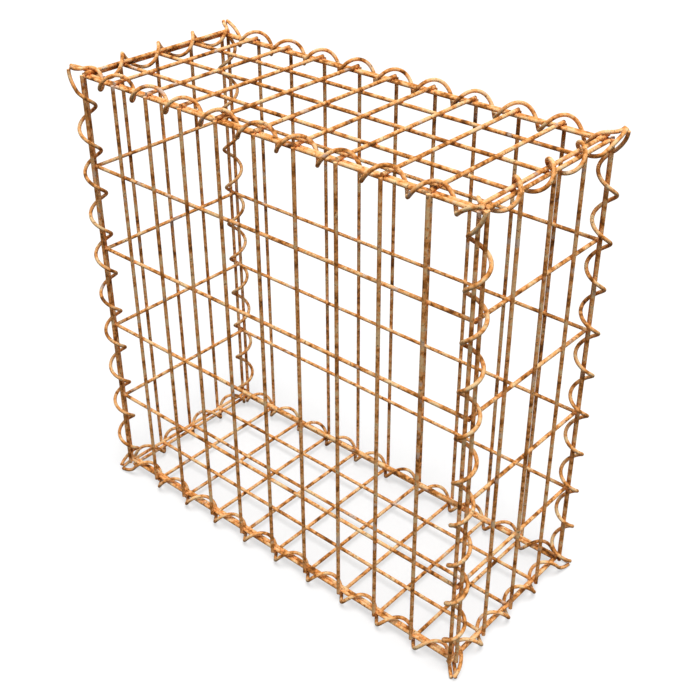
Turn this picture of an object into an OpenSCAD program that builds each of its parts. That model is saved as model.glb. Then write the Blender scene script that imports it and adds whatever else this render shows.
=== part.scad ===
// Gabion basket of welded round wire, closed and empty.
// Six welded mesh panels meet at the edges of a box.
// A spiral of wire is screwed through both panels along each of the twelve edges.
// Millimetres. Length along X, depth along Y, height along Z, front at -Y.
// The basket stands on its lower spirals at Z = 0.

/* [Basket] */

// Length of the basket, between the middles of its end panels
basket_len = 500; // [300:10:1000]
// Depth of the basket, between the middles of its front and back panels
basket_depth = 200; // [200:10:500]
// Height of the basket, between the middles of its lid and bottom panel
basket_h = 500; // [300:10:1000]

/* [Mesh] */

// Diameter of the panel wire
wire_d = 4; // [3:0.1:4.4]
// Aimed spacing of the upright wires, and of the cross wires in the lid and bottom
cell_w = 50; // [48:1:60]
// Aimed height of the cells in the four upright panels
cell_h = 100; // [96:1:120]
// How far the upright wires run on past the last wire they are welded to
wire_stub = 2; // [1.5:0.1:2]
// Air left between two wires at each weld
weld_gap = 0.02; // [0.02:0.02:0.1]
// Air left between a panel and the panel it stands against
panel_gap = 0.2; // [0.1:0.05:0.4]

/* [Spirals] */

// Diameter of the spiral wire
coil_wire_d = 4; // [3:0.1:4]
// Slack of a spiral round the bundle of edge wires
coil_play = 2; // [1.8:0.1:3]
// Turns of an upright spiral in each row of cells
turns_per_row = 2; // [1:1:2]
// How far a level spiral sits above the lid's edge line, or below the bottom's
level_lift = 1.8; // [1.6:0.1:2.2]
// How far a level spiral sits in from the upright panels
level_inset = 0.8; // [0.6:0.1:1]
// How far an upright spiral sits out along the length
upright_out = 1.7; // [1.5:0.1:2]
// How far an upright spiral sits out across the depth
upright_side = 2; // [1.8:0.1:2.2]
// Air between the three wire ends that meet at a corner
end_gap = 0.8; // [0.8:0.1:1.2]

/* [Detail] */

// Straight pieces in one turn of a spiral
coil_steps = 12; // [12:1:14]
// Straight pieces in the bent end of a spiral
tail_steps = 4; // [4:1:6]
// Sides of the spiral wire's cross-section
coil_sides = 5; // [5:1:6]

/* [Hidden] */

$fn = 32;
rust = [0.66, 0.33, 0.14];
rust_dark = [0.42, 0.23, 0.13];

// Whole cells in each direction, and the spacing that makes them fit
cols = round(basket_len / cell_w);
bays = round(basket_depth / cell_w);
rows = round(basket_h / cell_h);
col_w = basket_len / cols;
bay_w = basket_depth / bays;
row_h = basket_h / rows;

// Distance between the middles of two wires that cross at a weld
layer = wire_d + weld_gap;
// Wire ends stay short of the outer face of the next panel's uprights
stub = min(wire_stub, wire_d / 2);
// Wires that stand against another panel end short of it
inset = wire_d / 2 + panel_gap;

// Spirals: radius of the wire's middle line, reach of the corner tips, steps between the tips
coil_r = 2 * wire_d + coil_play;
tip_reach = coil_r + 0.3;
tip_step = (coil_wire_d + end_gap) / sqrt(2);
// The many-sided section has the same area as the round wire
coil_wire_r = coil_wire_d / 2 * sqrt(2 * PI / (coil_sides * sin(360 / coil_sides)));

// Middle lines of the upright panels, and of the lid and bottom edges
x_end = basket_len / 2;
y_end = basket_depth / 2;
z_low = level_lift + coil_r + coil_wire_r;
z_top = z_low + basket_h;

// Bent spiral ends, as shares of the spiral's radius
// Each holds the degrees of the turn it replaces, its pull, and where it is drawn to
// The place is given along the edge, outwards and sideways
tail_from_inside = [75, 0.3, [-0.04, 1.44, 0.1]];
tail_from_outside = [90, 0.3, [0.53, 0.96, 1.05]];
// Where two spirals come to one corner from inside, they keep apart with these
tail_first = [120, 0.65, [1.15, 1.25, -0.95]];
tail_second = [120, 0.8, [1.55, 1.6, -0.7]];

// Single straight wires

module upright_wire(x, y) {
    translate([x, y, z_low - stub])
        cylinder(h = basket_h + 2 * stub, d = wire_d);
}

module long_wire(y, z, half) {
    translate([-half, y, z])
        rotate([0, 90, 0])
            cylinder(h = 2 * half, d = wire_d);
}

module cross_wire(x, z, half) {
    translate([x, half, z])
        rotate([90, 0, 0])
            cylinder(h = 2 * half, d = wire_d);
}

// Front and back panels: uprights outside, level wires inside

module long_side_uprights(dir) {
    color(rust_dark)
        for (i = [0 : cols])
            upright_wire(-x_end + i * col_w, dir * (y_end + layer));
}

module long_side_level_wires(dir) {
    color(rust)
        for (k = [0 : rows])
            long_wire(dir * y_end, z_low + k * row_h, x_end + stub);
}

// End panels: uprights outside, level wires inside, standing between front and back

module end_uprights(dir) {
    color(rust_dark)
        for (j = [0 : bays])
            upright_wire(
                dir * (x_end + layer),
                max(-y_end + wire_d / 2, min(y_end - wire_d / 2, -y_end + j * bay_w))
            );
}

module end_level_wires(dir) {
    color(rust)
        for (k = [0 : rows])
            cross_wire(dir * x_end, z_low + k * row_h, y_end - inset);
}

// Lid and bottom: long wires inside, cross wires outside, lying over the other panels' ends

module flat_cross_wires(z_mid, dir) {
    last = x_end - inset - wire_d / 3;
    color(rust)
        for (i = [0 : cols])
            cross_wire(
                max(-last, min(last, -x_end + i * col_w)),
                z_mid + dir * (wire_d + panel_gap),
                y_end + wire_d / 2
            );
}

module flat_long_wires(z_mid, dir) {
    last = y_end - wire_d - panel_gap - 0.3;
    color(rust)
        for (j = [0 : bays])
            long_wire(
                max(-last, min(last, -y_end + j * bay_w)),
                z_mid + dir * (panel_gap - weld_gap),
                x_end - inset
            );
}

// Spirals
// A place in a spiral is [along, out, side]
// along runs from the corner, out is its outermost side, side faces out of the other panel

function unit(v) = v / norm(v);

// On the helix, deg after the corner, with way -1 from inside or 1 from outside
function helix_place(deg, pitch, seat, way) = [
    deg / 360 * pitch,
    seat[0] + coil_r * cos(deg),
    seat[1] + way * coil_r * sin(deg)
];

// Direction of the helix towards the corner
function helix_aim(deg, pitch, way) = unit([
    -pitch / (2 * PI * coil_r),
    sin(deg),
    -way * cos(deg)
]);

function bezier(a, b, c, d, t) =
    pow(1 - t, 3) * a + 3 * pow(1 - t, 2) * t * b + 3 * (1 - t) * t * t * c + pow(t, 3) * d;

// Bent end, from the helix to the corner tip
function tail_place(tail, pitch, seat, way, t) =
    let (leave = helix_place(tail[0], pitch, seat, way))
    bezier(
        leave,
        leave + tail[1] * coil_r * helix_aim(tail[0], pitch, way),
        coil_r * tail[2],
        [tip_step - tip_reach, tip_reach, tip_reach],
        t
    );

// The same place in the basket
function placed(p, corner, along, out, side) =
    corner + p[0] * along + p[1] * out + p[2] * side;

// Middle line of a whole spiral, tip to tip
function spiral_line(corner, along, out, side, len, turns, way, seat, tails) =
    let (
        pitch = len / turns,
        far = corner + len * along,
        first = tails[0][0],
        last = 360 * turns - tails[1][0],
        steps = round((last - first) / 360 * coil_steps)
    )
    concat(
        [for (i = [tail_steps : -1 : 1])
            placed(tail_place(tails[0], pitch, seat, way, i / tail_steps), corner, along, out, side)],
        [for (i = [0 : steps])
            placed(
                helix_place(first + (last - first) * i / steps, pitch, seat, way),
                corner, along, out, side
            )],
        [for (i = [1 : tail_steps])
            placed(tail_place(tails[1], pitch, seat, -way, i / tail_steps), far, -along, out, side)]
    );

// One ring of the wire's section round point i of its middle line
function section_ring(line, i, corner, along) =
    let (
        n = len(line) - 1,
        aim = unit(line[min(i + 1, n)] - line[max(i - 1, 0)]),
        reach = line[i] - corner - ((line[i] - corner) * along) * along,
        up = unit(reach - (reach * aim) * aim),
        across = cross(aim, up)
    )
    [for (k = [0 : coil_sides - 1])
        line[i] + coil_wire_r * (cos(360 * k / coil_sides) * up + sin(360 * k / coil_sides) * across)];

// Two triangles between corners a and b of one ring and the same corners c and d of the next
// They meet along the diagonal that follows the hand of the spiral, which keeps the wire full
function facet_pair(a, b, c, d, right_hand) =
    right_hand ? [[a, c, b], [c, d, b]] : [[a, c, d], [a, d, b]];

module wire_along(line, corner, along, right_hand) {
    rings = len(line);
    m = coil_sides;
    points = [for (i = [0 : rings - 1]) each section_ring(line, i, corner, along)];
    skin = [
        for (i = [0 : rings - 2], k = [0 : m - 1])
            each facet_pair(i * m + k, i * m + (k + 1) % m,
                (i + 1) * m + k, (i + 1) * m + (k + 1) % m, right_hand)
    ];
    start_cap = [for (k = [1 : m - 2]) [0, k, k + 1]];
    end_cap = [for (k = [1 : m - 2]) [rings * m - m, rings * m - m + k + 1, rings * m - m + k]];
    color(rust)
        polyhedron(points = points, faces = concat(skin, start_cap, end_cap), convexity = 10);
}

module edge_spiral(corner, along, out, side, len, turns, way, seat, tails) {
    middle = corner + seat[0] * out + seat[1] * side;
    wire_along(
        spiral_line(corner, along, out, side, len, turns, way, seat, tails),
        middle, along, way * (cross(out, side) * along) > 0
    );
}

// Level spirals along the length, with front or back as dir and lid or bottom as up
module long_edge_spiral(dir, up, way, tails) {
    edge_spiral(
        [-x_end, dir * y_end, up > 0 ? z_top : z_low], [1, 0, 0], [0, 0, up], [0, dir, 0],
        basket_len, cols, way, [level_lift, -level_inset], tails
    );
}

// Level spirals across the depth, with left or right as dir
module short_edge_spiral(dir, up, way, tails) {
    edge_spiral(
        [dir * x_end, -y_end, up > 0 ? z_top : z_low], [0, 1, 0], [0, 0, up], [dir, 0, 0],
        basket_depth, bays, way, [level_lift, -level_inset], tails
    );
}

// Upright spirals at the four corners, screwed up from below
module corner_spiral(dir_x, dir_y) {
    edge_spiral(
        [dir_x * x_end, dir_y * y_end, z_low], [0, 0, 1], [dir_x, 0, 0], [0, dir_y, 0],
        basket_h, rows * turns_per_row, -1, [upright_out, upright_side],
        [tail_from_inside, tail_from_outside]
    );
}

long_side_uprights(-1);  // front_uprights
long_side_level_wires(-1);  // front_level_wires
long_side_uprights(1);  // back_uprights
long_side_level_wires(1);  // back_level_wires
end_uprights(-1);  // left_uprights
end_level_wires(-1);  // left_level_wires
end_uprights(1);  // right_uprights
end_level_wires(1);  // right_level_wires
flat_cross_wires(z_top, 1);  // lid_cross_wires
flat_long_wires(z_top, 1);  // lid_long_wires
flat_cross_wires(z_low, -1);  // bottom_cross_wires
flat_long_wires(z_low, -1);  // bottom_long_wires
long_edge_spiral(-1, 1, -1, [tail_from_inside, tail_from_outside]);  // spiral_top_front
long_edge_spiral(1, 1, 1, [tail_from_outside, tail_from_inside]);  // spiral_top_back
short_edge_spiral(-1, 1, 1, [tail_from_outside, tail_from_inside]);  // spiral_top_left
short_edge_spiral(1, 1, -1, [tail_from_inside, tail_from_outside]);  // spiral_top_right
long_edge_spiral(-1, -1, 1, [tail_from_outside, tail_first]);  // spiral_bottom_front
long_edge_spiral(1, -1, -1, [tail_first, tail_from_outside]);  // spiral_bottom_back
short_edge_spiral(-1, -1, 1, [tail_from_outside, tail_second]);  // spiral_bottom_left
short_edge_spiral(1, -1, -1, [tail_second, tail_from_outside]);  // spiral_bottom_right
corner_spiral(-1, -1);  // spiral_front_left
corner_spiral(1, -1);  // spiral_front_right
corner_spiral(-1, 1);  // spiral_back_left
corner_spiral(1, 1);  // spiral_back_right
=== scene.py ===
"""Dresses the gabion basket: round spiral wires, welds, weathered rust and a plain studio."""
from math import cos, pi, radians, sin

import bmesh
import bpy
from bpy.props import FloatProperty, FloatVectorProperty, IntProperty, PointerProperty
from mathutils import Matrix, Vector
from mathutils.geometry import interpolate_bezier


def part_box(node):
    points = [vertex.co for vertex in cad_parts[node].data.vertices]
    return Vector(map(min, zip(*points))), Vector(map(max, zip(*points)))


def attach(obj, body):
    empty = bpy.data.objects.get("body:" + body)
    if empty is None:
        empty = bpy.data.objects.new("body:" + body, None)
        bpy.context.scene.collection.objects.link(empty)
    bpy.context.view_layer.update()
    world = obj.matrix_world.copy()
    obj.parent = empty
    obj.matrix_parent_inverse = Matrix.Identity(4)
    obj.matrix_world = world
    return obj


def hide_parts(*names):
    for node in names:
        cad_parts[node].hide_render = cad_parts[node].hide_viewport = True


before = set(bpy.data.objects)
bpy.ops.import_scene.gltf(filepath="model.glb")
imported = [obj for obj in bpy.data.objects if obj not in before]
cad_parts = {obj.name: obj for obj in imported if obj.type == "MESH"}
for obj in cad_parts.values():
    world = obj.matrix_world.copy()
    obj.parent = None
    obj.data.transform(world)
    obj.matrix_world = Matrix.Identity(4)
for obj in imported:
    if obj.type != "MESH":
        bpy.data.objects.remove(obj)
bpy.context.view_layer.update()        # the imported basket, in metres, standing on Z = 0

bl_info = {
    "name": "Gabion basket dresser",
    "version": (1, 0, 0),
    "blender": (4, 5, 0),
    "location": "3D View > Sidebar > Basket",
    "description": "Makes the spirals, welds, rust and studio of a gabion basket",
    "category": "Object",
}

MM = 0.001
X, Y, Z = Vector((1, 0, 0)), Vector((0, 1, 0)), Vector((0, 0, 1))

PANEL_NODES = (
    "front_uprights", "front_level_wires", "back_uprights", "back_level_wires",
    "left_uprights", "left_level_wires", "right_uprights", "right_level_wires",
    "lid_cross_wires", "lid_long_wires", "bottom_cross_wires", "bottom_long_wires",
)


def linear(hex_colour):
    """An sRGB hex colour as linear red, green and blue."""
    channels = [int(hex_colour[i:i + 2], 16) / 255 for i in (1, 3, 5)]
    return tuple(c / 12.92 if c <= 0.04045 else ((c + 0.055) / 1.055) ** 2.4 for c in channels)


def middle(node, axis):
    """Middle of a CAD node's box along one axis."""
    low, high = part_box(node)
    return (low[axis] + high[axis]) / 2


# The basket's own lines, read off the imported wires
WIRE_R = (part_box("front_level_wires")[1][1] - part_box("front_level_wires")[0][1]) / 2
X_END = middle("right_level_wires", 0)
Y_END = middle("back_level_wires", 1)
Z_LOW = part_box("front_level_wires")[0][2] + WIRE_R
Z_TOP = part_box("front_level_wires")[1][2] - WIRE_R


# Looks of the rust that stay as they are: break-up of its noise, speckle against patches,
# width of the bloom's soft edge, and how much of the rust the bloom hides
NOISE_ROUGHNESS = 0.6
SPECKLE_SHARE = 0.5
BLOOM_EDGE = 0.12
BLOOM_STRENGTH = 0.8
# Rounding of a cropped wire's rim, as a share of its radius
RIM_SHARE = 0.15
# Share of its own white that the floor shows the camera, the rest being lit
FLOOR_SHARE = 0.6


# Settings

class BasketMeshSizes(bpy.types.PropertyGroup):
    """The grid of the six welded panels"""
    columns: IntProperty(
        name="Columns", description="Cells along the length", default=10, min=1)
    bays: IntProperty(
        name="Bays", description="Cells across the depth", default=4, min=1)
    rows: IntProperty(
        name="Rows", description="Cells up the four upright panels", default=5, min=1)
    weld_r: FloatProperty(
        name="Weld radius", description="Radius of the metal squeezed out at a weld",
        default=1.6 * MM, unit="LENGTH")
    weld_half: FloatProperty(
        name="Weld half thickness", description="Half the thickness of a weld between its wires",
        default=0.5 * MM, unit="LENGTH")


class BasketSpiralSizes(bpy.types.PropertyGroup):
    """The wire screwed along each edge"""
    wire_r: FloatProperty(
        name="Wire radius", description="Radius of the spiral wire",
        default=2 * MM, unit="LENGTH")
    coil_r: FloatProperty(
        name="Coil radius", description="Radius of the wire's middle line",
        default=10 * MM, unit="LENGTH")
    level_lift: FloatProperty(
        name="Level lift", description="How far a level spiral sits outside the lid or bottom",
        default=1.8 * MM, unit="LENGTH")
    level_inset: FloatProperty(
        name="Level inset", description="How far a level spiral sits in from the upright panels",
        default=0.8 * MM, unit="LENGTH")
    upright_out: FloatProperty(
        name="Upright out", description="How far an upright spiral sits out along the length",
        default=1.7 * MM, unit="LENGTH")
    upright_side: FloatProperty(
        name="Upright side", description="How far an upright spiral sits out across the depth",
        default=2 * MM, unit="LENGTH")
    tip_reach: FloatProperty(
        name="Tip reach", description="How far the corner tips stand off the corner",
        default=11.13 * MM, unit="LENGTH")
    tip_step: FloatProperty(
        name="Tip step", description="How far each tip stops short in its own direction",
        default=2.93 * MM, unit="LENGTH")
    turns_per_row: IntProperty(
        name="Turns per row", description="Turns of an upright spiral in a row of cells",
        default=2, min=1)
    steps: IntProperty(
        name="Steps", description="Rings of the wire in one turn", default=36, min=8)
    sides: IntProperty(
        name="Sides", description="Sides of the wire's round section", default=14, min=6)


class BasketColours(bpy.types.PropertyGroup):
    """Colours of the rust and the studio"""
    pit: FloatVectorProperty(
        name="Pits", description="Old rust in the pits", subtype="COLOR",
        default=linear("#56300f"))
    dark_rust: FloatVectorProperty(
        name="Dark rust", description="Old rust", subtype="COLOR",
        default=linear("#744414"))
    brown_rust: FloatVectorProperty(
        name="Brown rust", description="Settled rust", subtype="COLOR",
        default=linear("#c67e36"))
    orange_rust: FloatVectorProperty(
        name="Orange rust", description="Fresh rust", subtype="COLOR",
        default=linear("#fcb168"))
    fresh_rust: FloatVectorProperty(
        name="Freshest rust", description="The palest, newest rust", subtype="COLOR",
        default=linear("#ffd8a0"))
    bloom: FloatVectorProperty(
        name="Bloom", description="Dusty bloom over the rust", subtype="COLOR",
        default=linear("#e6d0bd"))
    floor: FloatVectorProperty(
        name="Floor", description="Studio floor as the camera sees it", subtype="COLOR",
        default=linear("#fdfdfd"))
    board: FloatVectorProperty(
        name="Board", description="Studio floor as it throws light back", subtype="COLOR",
        default=linear("#222120"))


class BasketStudio(bpy.types.PropertyGroup):
    """Camera and light"""
    camera_place: FloatVectorProperty(
        name="Camera place", description="Where the camera stands", subtype="XYZ", unit="LENGTH",
        default=(0.6916, -0.7688, 0.8900))
    camera_aim: FloatVectorProperty(
        name="Camera aim", description="Direction the camera looks in", subtype="XYZ",
        default=(-0.56087, 0.64759, -0.51580))
    lens: FloatProperty(
        name="Lens", description="Focal length on a 36 mm wide square frame, in millimetres",
        default=57.69)
    shift_x: FloatProperty(
        name="Shift X", description="Sideways shift of the frame", default=-0.0020)
    shift_y: FloatProperty(
        name="Shift Y", description="Upward shift of the frame", default=-0.0343)
    sky_light: FloatProperty(
        name="Sky light", description="Even light from all round", default=0.31)
    key_light: FloatProperty(
        name="Key light", description="Soft light from above", default=3.1)


SETTINGS = {
    "basket_mesh": BasketMeshSizes,
    "basket_spirals": BasketSpiralSizes,
    "basket_colours": BasketColours,
    "basket_studio": BasketStudio,
}


# Nodes and materials

def add_node(tree, kind, settings=None, inputs=None, links=None):
    """Adds a node, sets its properties and input values, and links its inputs."""
    node = tree.nodes.new(kind)
    for key, value in (settings or {}).items():
        setattr(node, key, value)
    for key, value in (inputs or {}).items():
        node.inputs[key].default_value = value
    for key, source in (links or {}).items():
        tree.links.new(source, node.inputs[key])
    return node


def seen_by_camera(tree):
    """1 for what the camera sees, straight or in a reflection, and 0 for light that falls on it."""
    path = add_node(tree, "ShaderNodeLightPath")
    seen = add_node(
        tree, "ShaderNodeMath", {"operation": "MAXIMUM"},
        links={0: path.outputs["Is Camera Ray"], 1: path.outputs["Is Glossy Ray"]})
    return add_node(
        tree, "ShaderNodeMath", {"operation": "MAXIMUM"},
        links={0: seen.outputs["Value"], 1: path.outputs["Is Transmission Ray"]}).outputs["Value"]


def rusted_wire(name, offset, stops, bloom_cover):
    """Drawn steel wire left out to rust: a matt, mottled oxide skin under patches of pale bloom."""
    colours = bpy.context.scene.basket_colours
    material = bpy.data.materials.new(name)
    material.use_nodes = True
    tree = material.node_tree
    tree.nodes.clear()
    place = add_node(tree, "ShaderNodeTexCoord")
    spot = add_node(
        tree, "ShaderNodeMapping", inputs={"Location": offset},
        links={"Vector": place.outputs["Object"]}).outputs["Vector"]

    # Noise over the wire, by the size of its marks in millimetres and how finely it is broken up
    # Pits and grain are drawn coarser than the real ones, so that they show in the picture
    marks = {
        mark: add_node(
            tree, "ShaderNodeTexNoise",
            inputs={"Scale": 1 / (size * MM), "Detail": detail, "Roughness": NOISE_ROUGHNESS},
            links={"Vector": spot}).outputs["Fac"]
        for mark, size, detail in (
            ("patches", 12, 2), ("speckle", 4, 2), ("dust", 15, 1), ("pits", 2.5, 1),
            ("grain", 1.5, 4))
    }

    # Patches of settled and fresh rust with speckle at half their strength inside them
    mixed = add_node(
        tree, "ShaderNodeMath", {"operation": "MULTIPLY_ADD"}, {1: SPECKLE_SHARE},
        {0: marks["speckle"], 2: marks["patches"]})
    age = add_node(
        tree, "ShaderNodeMath", {"operation": "SUBTRACT"}, {1: SPECKLE_SHARE / 2},
        {0: mixed.outputs["Value"]})
    rust = add_node(tree, "ShaderNodeValToRGB", links={"Fac": age.outputs["Value"]})
    ramp = rust.color_ramp
    while len(ramp.elements) < len(stops):
        ramp.elements.new(0.5)
    for element, (stop, colour) in zip(ramp.elements, stops):
        element.position = stop
        element.color = (*colour, 1)

    # Pale lilac bloom in patches with soft edges
    bloom = add_node(
        tree, "ShaderNodeMapRange", {"interpolation_type": "SMOOTHSTEP"},
        {"From Min": 1 - bloom_cover, "From Max": 1 - bloom_cover + BLOOM_EDGE,
         "To Max": BLOOM_STRENGTH},
        {"Value": marks["dust"]})
    skin = add_node(
        tree, "ShaderNodeMix", {"data_type": "RGBA"}, {7: (*colours.bloom, 1)},
        {0: bloom.outputs["Result"], 6: rust.outputs["Color"]})

    # Pits of old rust
    pits = add_node(
        tree, "ShaderNodeMapRange", {"interpolation_type": "SMOOTHSTEP"},
        {"From Min": 0.60, "From Max": 0.74, "To Max": 0.7}, {"Value": marks["pits"]})
    skin = add_node(
        tree, "ShaderNodeMix", {"data_type": "RGBA"}, {7: (*colours.pit, 1)},
        {0: pits.outputs["Result"], 6: skin.outputs[2]})

    # Grain of the oxide skin
    bump = add_node(
        tree, "ShaderNodeBump", inputs={"Strength": 0.3, "Distance": 0.3 * MM},
        links={"Height": marks["grain"]})
    roughness = add_node(
        tree, "ShaderNodeMapRange", inputs={"To Min": 0.65, "To Max": 0.95},
        links={"Value": marks["grain"]})
    surface = add_node(
        tree, "ShaderNodeBsdfPrincipled", inputs={"Metallic": 0.0, "Specular IOR Level": 0.3},
        links={"Base Color": skin.outputs[2], "Roughness": roughness.outputs["Result"],
               "Normal": bump.outputs["Normal"]})
    add_node(tree, "ShaderNodeOutputMaterial", links={"Surface": surface.outputs["BSDF"]})
    return material


def panel_rust():
    """Rust of the welded panels."""
    c = bpy.context.scene.basket_colours
    return bpy.data.materials.get("weathered_panel_steel") or rusted_wire(
        "weathered_panel_steel", (0.31, 0.07, 0.52),
        ((0.27, c.dark_rust), (0.40, c.brown_rust), (0.50, c.orange_rust), (0.66, c.fresh_rust)),
        0.36)


def spiral_rust():
    """Rust of the spirals, a little fresher because the wire was bent last."""
    c = bpy.context.scene.basket_colours
    return bpy.data.materials.get("weathered_spiral_steel") or rusted_wire(
        "weathered_spiral_steel", (0.11, 0.43, 0.27),
        ((0.25, c.dark_rust), (0.38, c.brown_rust), (0.48, c.orange_rust), (0.64, c.fresh_rust)),
        0.34)


# Meshes

def finish_piece(bm, name, material, replaced=()):
    """Turns a bmesh into a piece of the basket that rides on its only body."""
    bmesh.ops.recalc_face_normals(bm, faces=bm.faces)
    mesh = bpy.data.meshes.new(name)
    bm.to_mesh(mesh)
    bm.free()
    mesh.shade_smooth()
    mesh.set_sharp_from_angle(angle=radians(40))
    mesh.materials.append(material)
    piece = bpy.data.objects.new(name, mesh)
    bpy.context.scene.collection.objects.link(piece)
    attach(piece, "root")
    if replaced:
        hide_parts(*replaced)
    return piece


def section_frame(point, aim, axis_point, along):
    """Frame of the wire's section: its normal along the wire, its first side away from the axis."""
    reach = point - axis_point
    reach -= reach.dot(along) * along
    up = (reach - reach.dot(aim) * aim).normalized()
    across = aim.cross(up)
    rotation = Matrix((up, across, aim)).transposed().to_4x4()
    return Matrix.Translation(point) @ rotation


def follow(bm, ring, frames):
    """Extrudes a ring of edges through the frames that follow its own."""
    for before, after in zip(frames, frames[1:]):
        made = bmesh.ops.extrude_edge_only(bm, edges=ring)["geom"]
        verts = [g for g in made if isinstance(g, bmesh.types.BMVert)]
        bmesh.ops.transform(bm, matrix=after @ before.inverted(), verts=verts)
        ring = [g for g in made if isinstance(g, bmesh.types.BMEdge) and
                all(v in verts for v in g.verts)]
    return ring


class Edge:
    """One edge of the basket: its corner, its directions, and the spiral along it."""

    def __init__(self, corner, along, out, side, length, turns, seat):
        self.corner, self.along, self.out, self.side = corner, along, out, side
        self.length, self.turns, self.seat = length, turns, seat
        self.sizes = bpy.context.scene.basket_spirals
        self.pitch = length / turns

    def place(self, p, far=False):
        """A point given along, out and sideways, from the near or the far corner."""
        start = self.corner + (self.length if far else 0) * self.along
        return start + (-p[0] if far else p[0]) * self.along + p[1] * self.out + p[2] * self.side

    def on_helix(self, deg, way):
        """Place on the helix, deg after the corner, coming from inside (-1) or outside (1)."""
        r, a = self.sizes.coil_r, radians(deg)
        return Vector((deg / 360 * self.pitch, self.seat[0] + r * cos(a),
                       self.seat[1] + way * r * sin(a)))

    def aim_on_helix(self, deg, way):
        """Direction of the helix towards the corner."""
        a = radians(deg)
        rise = self.pitch / (2 * pi * self.sizes.coil_r)
        return Vector((-rise, sin(a), -way * cos(a))).normalized()

    def tail(self, shape, way, far, steps):
        """Places from the helix to the corner tip."""
        deg, pull, control = shape
        r, reach = self.sizes.coil_r, self.sizes.tip_reach
        leave = self.on_helix(deg, way)
        places = interpolate_bezier(
            leave, leave + pull * r * self.aim_on_helix(deg, way), r * Vector(control),
            Vector((self.sizes.tip_step - reach, reach, reach)), steps)
        return [self.place(p, far) for p in places]

    def axis_point(self):
        """A point on the spiral's own axis."""
        return self.corner + self.seat[0] * self.out + self.seat[1] * self.side


# Bent ends: degrees of the turn replaced, pull, and where it is drawn to in coil radii
TOP_INSIDE = (88.4, 1.672, (-0.299, 0.256, 0.337))
TOP_OUTSIDE = (150, 0.136, (1.165, 0.397, 1.192))
UPRIGHT_TOP = (100.6, 0.021, (0.333, 1.103, 1.262))
FROM_INSIDE = (75, 0.3, (-0.04, 1.44, 0.1))
FROM_OUTSIDE = (90, 0.3, (0.53, 0.96, 1.05))
# Where two spirals come to one corner from inside, they keep apart with these
FIRST = (120, 0.65, (1.15, 1.25, -0.95))
SECOND = (120, 0.8, (1.55, 1.5, -0.7))
TAIL_STEPS = 22


def tail_frames(edge, points):
    """Section frames along a bent end."""
    aims = [b - a for a, b in zip(points, points[1:])]
    aims = [aims[0]] + [a + b for a, b in zip(aims, aims[1:])] + [aims[-1]]
    return [section_frame(p, aim.normalized(), edge.axis_point(), edge.along)
            for p, aim in zip(points, aims)]


def spiral_mesh(edge, way, near_shape, far_shape):
    """Round wire from tip to tip: a bent end, the screwed turns, and the other bent end."""
    sizes = edge.sizes
    near = tail_frames(edge, edge.tail(near_shape, way, False, TAIL_STEPS)[::-1])
    far = tail_frames(edge, edge.tail(far_shape, -way, True, TAIL_STEPS))
    bm = bmesh.new()
    tip = bmesh.ops.create_circle(
        bm, cap_ends=False, segments=sizes.sides, radius=sizes.wire_r, matrix=near[0])
    tip_edges = list({e for v in tip["verts"] for e in v.link_edges})
    ring = follow(bm, tip_edges, near)

    turned = 360 * edge.turns - near_shape[0] - far_shape[0]
    steps = round(turned / 360 * sizes.steps)
    sense = way * edge.along.cross(edge.out).dot(edge.side)
    verts = list({v for e in ring for v in e.verts})
    turned_end = bmesh.ops.spin(
        bm, geom=verts + ring, cent=edge.axis_point(), axis=edge.along,
        dvec=edge.along * (turned / 360 * edge.pitch / steps),
        angle=sense * radians(turned), steps=steps, use_duplicate=False)
    ring = [g for g in turned_end["geom_last"] if isinstance(g, bmesh.types.BMEdge)]
    ring = follow(bm, ring, far)

    # The wire was cropped off square, with its rim slightly rounded by the cutter
    caps = [bmesh.ops.contextual_create(bm, geom=edges)["faces"][0] for edges in (tip_edges, ring)]
    rims = list({e for face in caps for e in face.edges})
    bmesh.ops.bevel(
        bm, geom=rims, offset=sizes.wire_r * RIM_SHARE, segments=2, profile=0.5,
        affect="EDGES", material=-1)
    return bm


def make_spiral(name, edge, way, near_shape, far_shape):
    """One spiral in place of its CAD node."""
    finish_piece(
        spiral_mesh(edge, way, near_shape, far_shape), name + "_wire", spiral_rust(),
        [name])


# Operators

class BASKET_OT_rust_panels(bpy.types.Operator):
    """Gives the straight wires of the six panels their rusted finish"""
    bl_idname = "basket.rust_panels"
    bl_label = "Rust the panels"

    def execute(self, context):
        finish = panel_rust()
        for name in PANEL_NODES:
            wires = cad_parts[name]
            for slot in wires.material_slots:
                slot.material = finish
        return {"FINISHED"}


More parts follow.
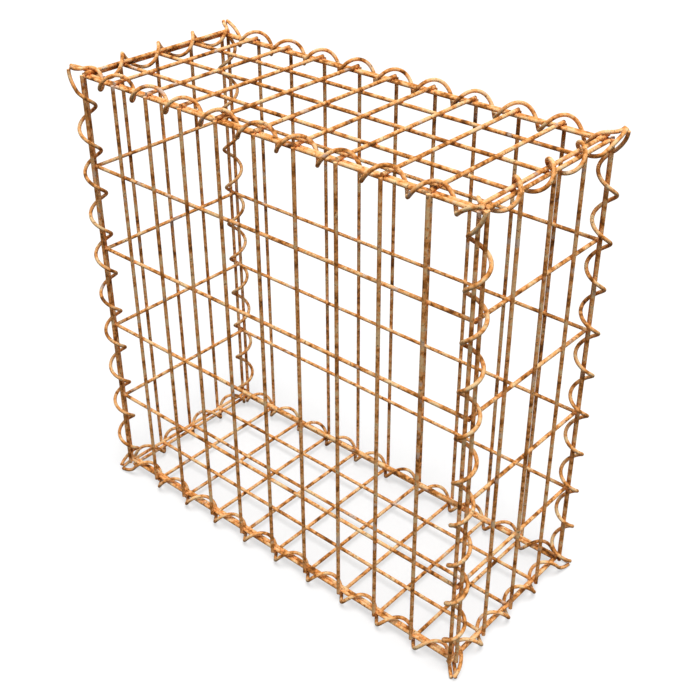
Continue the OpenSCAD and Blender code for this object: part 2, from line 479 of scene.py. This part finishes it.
class BASKET_OT_welds(bpy.types.Operator):
    """Adds the squeezed metal of the weld at each crossing of the six panels"""
    bl_idname = "basket.welds"
    bl_label = "Welds"

    def execute(self, context):
        grid = context.scene.basket_mesh
        inset = Y_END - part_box("left_level_wires")[1][1]
        x_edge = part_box("lid_cross_wires")[1][0] - WIRE_R
        y_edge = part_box("lid_long_wires")[1][1] - WIRE_R
        end_edge = Y_END - inset
        xs = [X_END * (2 * i / grid.columns - 1) for i in range(grid.columns + 1)]
        ys = [Y_END * (2 * j / grid.bays - 1) for j in range(grid.bays + 1)]
        zs = [Z_LOW + (Z_TOP - Z_LOW) * k / grid.rows for k in range(grid.rows + 1)]

        def within(values, limit):
            return [max(-limit, min(limit, v)) for v in values]

        for name, axis in (("front", 1), ("back", 1), ("left", 0), ("right", 0),
                           ("lid", 2), ("bottom", 2)):
            inner, outer = {
                2: (name + "_long_wires", name + "_cross_wires")
            }.get(axis, (name + "_level_wires", name + "_uprights"))
            level = (middle(inner, axis) + middle(outer, axis)) / 2
            crossings = {
                0: [(level, y, z) for y in within(ys, end_edge) for z in zs],
                1: [(x, level, z) for x in xs for z in zs],
                2: [(x, y, level) for x in within(xs, x_edge) for y in within(ys, y_edge)],
            }[axis]
            flat = [grid.weld_r] * 3
            flat[axis] = grid.weld_half
            bm = bmesh.new()
            for spot in crossings:
                bmesh.ops.create_icosphere(
                    bm, subdivisions=2, radius=1,
                    matrix=Matrix.Translation(spot) @ Matrix.Diagonal((*flat, 1)))
            finish_piece(bm, name + "_welds", panel_rust())
        return {"FINISHED"}


class BASKET_OT_level_spirals(bpy.types.Operator):
    """Makes the eight spirals along the lid and the bottom"""
    bl_idname = "basket.level_spirals"
    bl_label = "Level spirals"

    def execute(self, context):
        grid, sizes = context.scene.basket_mesh, context.scene.basket_spirals
        seat = (sizes.level_lift, -sizes.level_inset)
        for name, way, near_shape, far_shape in (
            ("spiral_top_front", -1, TOP_INSIDE, TOP_OUTSIDE),
            ("spiral_top_back", 1, TOP_OUTSIDE, TOP_INSIDE),
            ("spiral_top_left", 1, TOP_OUTSIDE, TOP_INSIDE),
            ("spiral_top_right", -1, TOP_INSIDE, TOP_OUTSIDE),
            ("spiral_bottom_front", 1, FROM_OUTSIDE, FIRST),
            ("spiral_bottom_back", -1, FIRST, FROM_OUTSIDE),
            ("spiral_bottom_left", 1, FROM_OUTSIDE, SECOND),
            ("spiral_bottom_right", -1, SECOND, FROM_OUTSIDE),
        ):
            up = 1 if "_top_" in name else -1
            height = Z_TOP if up > 0 else Z_LOW
            if name.endswith(("front", "back")):
                outwards = -1 if name.endswith("front") else 1
                edge = Edge(Vector((-X_END, outwards * Y_END, height)), X, up * Z, outwards * Y,
                            2 * X_END, grid.columns, seat)
            else:
                outwards = -1 if name.endswith("left") else 1
                edge = Edge(Vector((outwards * X_END, -Y_END, height)), Y, up * Z, outwards * X,
                            2 * Y_END, grid.bays, seat)
            make_spiral(name, edge, way, near_shape, far_shape)
        return {"FINISHED"}


class BASKET_OT_upright_spirals(bpy.types.Operator):
    """Makes the four spirals up the corners"""
    bl_idname = "basket.upright_spirals"
    bl_label = "Upright spirals"

    def execute(self, context):
        grid, sizes = context.scene.basket_mesh, context.scene.basket_spirals
        for name, x_way, y_way in (
            ("spiral_front_left", -1, -1), ("spiral_front_right", 1, -1),
            ("spiral_back_left", -1, 1), ("spiral_back_right", 1, 1),
        ):
            edge = Edge(
                Vector((x_way * X_END, y_way * Y_END, Z_LOW)), Z, x_way * X, y_way * Y,
                Z_TOP - Z_LOW, grid.rows * sizes.turns_per_row,
                (sizes.upright_out, sizes.upright_side))
            make_spiral(name, edge, -1, FROM_INSIDE, UPRIGHT_TOP)
        return {"FINISHED"}


class BASKET_OT_stage(bpy.types.Operator):
    """Sets up the floor, the soft light and the camera"""
    bl_idname = "basket.stage"
    bl_label = "Studio"

    def execute(self, context):
        scene = context.scene
        studio, colours = scene.basket_studio, scene.basket_colours
        scene.view_settings.view_transform = "Standard"

        camera = bpy.data.objects.new("camera", bpy.data.cameras.new("camera"))
        camera.data.sensor_width = 36
        camera.data.lens = studio.lens
        camera.data.shift_x = studio.shift_x
        camera.data.shift_y = studio.shift_y
        camera.data.clip_end = 100
        camera.location = studio.camera_place
        camera.rotation_euler = Vector(studio.camera_aim).to_track_quat("-Z", "Y").to_euler()
        scene.collection.objects.link(camera)
        scene.camera = camera

        # Soft light from high up on the right, a little to the front
        lamp = bpy.data.lights.new("key_light", "SUN")
        lamp.energy = studio.key_light
        lamp.angle = radians(35)
        key = bpy.data.objects.new("key_light", lamp)
        key.rotation_euler = (radians(8), radians(12), 0)
        scene.collection.objects.link(key)

        # The sky lights evenly and looks white to the camera and in reflections
        world = bpy.data.worlds.new("studio_sky")
        world.use_nodes = True
        tree = world.node_tree
        tree.nodes.clear()
        even = add_node(
            tree, "ShaderNodeBackground",
            inputs={"Color": (1, 1, 1, 1), "Strength": studio.sky_light})
        white = add_node(
            tree, "ShaderNodeBackground", inputs={"Color": (1, 1, 1, 1), "Strength": 1})
        sky = add_node(
            tree, "ShaderNodeMixShader",
            links={0: seen_by_camera(tree), 1: even.outputs["Background"],
                   2: white.outputs["Background"]})
        add_node(tree, "ShaderNodeOutputWorld", links={"Surface": sky.outputs["Shader"]})
        scene.world = world

        # Matt board, white to the camera, that throws back as little light as a dark one
        board = bpy.data.materials.new("matt_board")
        board.use_nodes = True
        tree = board.node_tree
        tree.nodes.clear()
        seen = seen_by_camera(tree)
        colour = add_node(
            tree, "ShaderNodeMix", {"data_type": "RGBA"},
            {6: (*colours.board, 1), 7: (*colours.floor, 1)}, {0: seen})
        matt = add_node(
            tree, "ShaderNodeBsdfDiffuse", links={"Color": colour.outputs[2]})
        white = add_node(
            tree, "ShaderNodeEmission", inputs={"Color": (1, 1, 1, 1), "Strength": 1})
        share = add_node(
            tree, "ShaderNodeMath", {"operation": "MULTIPLY"}, {1: FLOOR_SHARE}, {0: seen})
        floor_look = add_node(
            tree, "ShaderNodeMixShader",
            links={0: share.outputs["Value"], 1: matt.outputs["BSDF"],
                   2: white.outputs["Emission"]})
        add_node(tree, "ShaderNodeOutputMaterial", links={"Surface": floor_look.outputs["Shader"]})
        bm = bmesh.new()
        bmesh.ops.create_grid(bm, x_segments=1, y_segments=1, size=20)
        mesh = bpy.data.meshes.new("floor")
        bm.to_mesh(mesh)
        bm.free()
        mesh.materials.append(board)
        floor = bpy.data.objects.new("floor", mesh)
        scene.collection.objects.link(floor)
        return {"FINISHED"}


OPERATORS = (
    BASKET_OT_rust_panels,
    BASKET_OT_welds,
    BASKET_OT_level_spirals,
    BASKET_OT_upright_spirals,
    BASKET_OT_stage,
)


class BASKET_PT_sidebar(bpy.types.Panel):
    """Lists the steps and their settings"""
    bl_idname = "BASKET_PT_sidebar"
    bl_label = "Gabion basket"
    bl_space_type = "VIEW_3D"
    bl_region_type = "UI"
    bl_category = "Basket"

    def draw(self, context):
        column = self.layout.column()
        for operator in OPERATORS:
            column.operator(operator.bl_idname)
        for name, group in SETTINGS.items():
            box = self.layout.box()
            for prop in group.__annotations__:
                box.prop(getattr(context.scene, name), prop)


def register():
    for cls in (*SETTINGS.values(), *OPERATORS, BASKET_PT_sidebar):
        bpy.utils.register_class(cls)
    for name, group in SETTINGS.items():
        setattr(bpy.types.Scene, name, PointerProperty(type=group))


def unregister():
    for name in SETTINGS:
        delattr(bpy.types.Scene, name)
    for cls in reversed((*SETTINGS.values(), *OPERATORS, BASKET_PT_sidebar)):
        bpy.utils.unregister_class(cls)


def main():
    register()
    bpy.ops.basket.rust_panels()
    bpy.ops.basket.welds()
    bpy.ops.basket.level_spirals()
    bpy.ops.basket.upright_spirals()
    bpy.ops.basket.stage()


if __name__ == "__main__":
    main()
